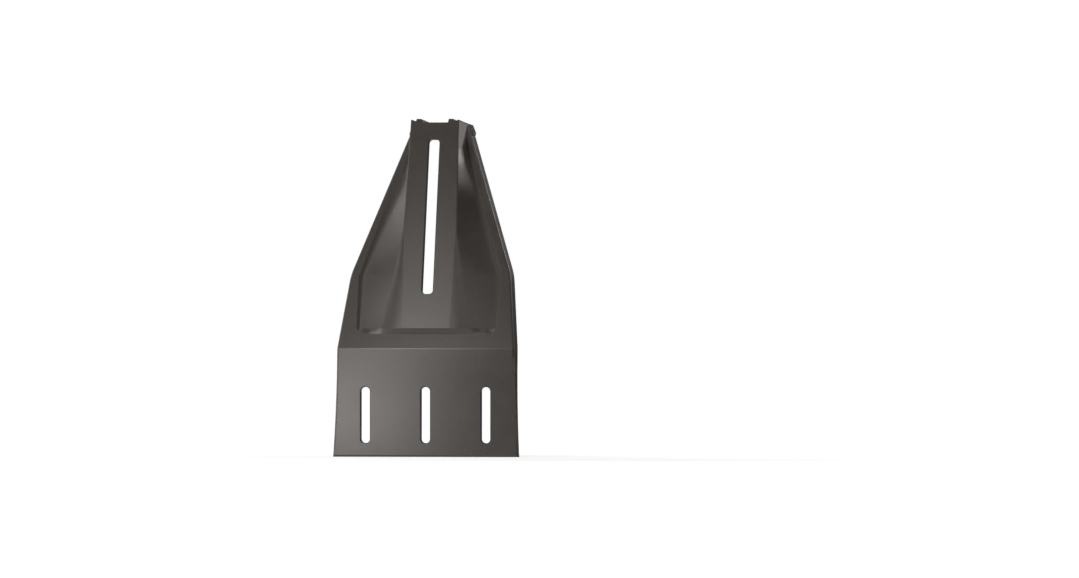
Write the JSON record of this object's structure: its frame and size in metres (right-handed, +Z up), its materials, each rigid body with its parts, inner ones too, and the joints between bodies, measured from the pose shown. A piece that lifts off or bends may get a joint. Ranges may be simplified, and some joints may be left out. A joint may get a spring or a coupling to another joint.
{
  "type": "roof bar foot",
  "caption": "Leaning cast foot for a roof bar, with slots in its base plate, a long slot up its hollow rib and a grooved saddle on top.",
  "frame": {"origin": "on the back of the base plate, in the middle of its row of slots", "axes": "+Z up along the base plate, +Y out of its back towards what it is bolted to, +X across, to the right seen from the face"},
  "size_m": [0.1332, 0.0502, 0.2336],
  "materials": {
    "coated_casting": "warm grey satin coat with a fine grain, over a die casting"
  },
  "bodies": {
    "root": {"foot": "coated_casting"}
  },
  "joints": []
}
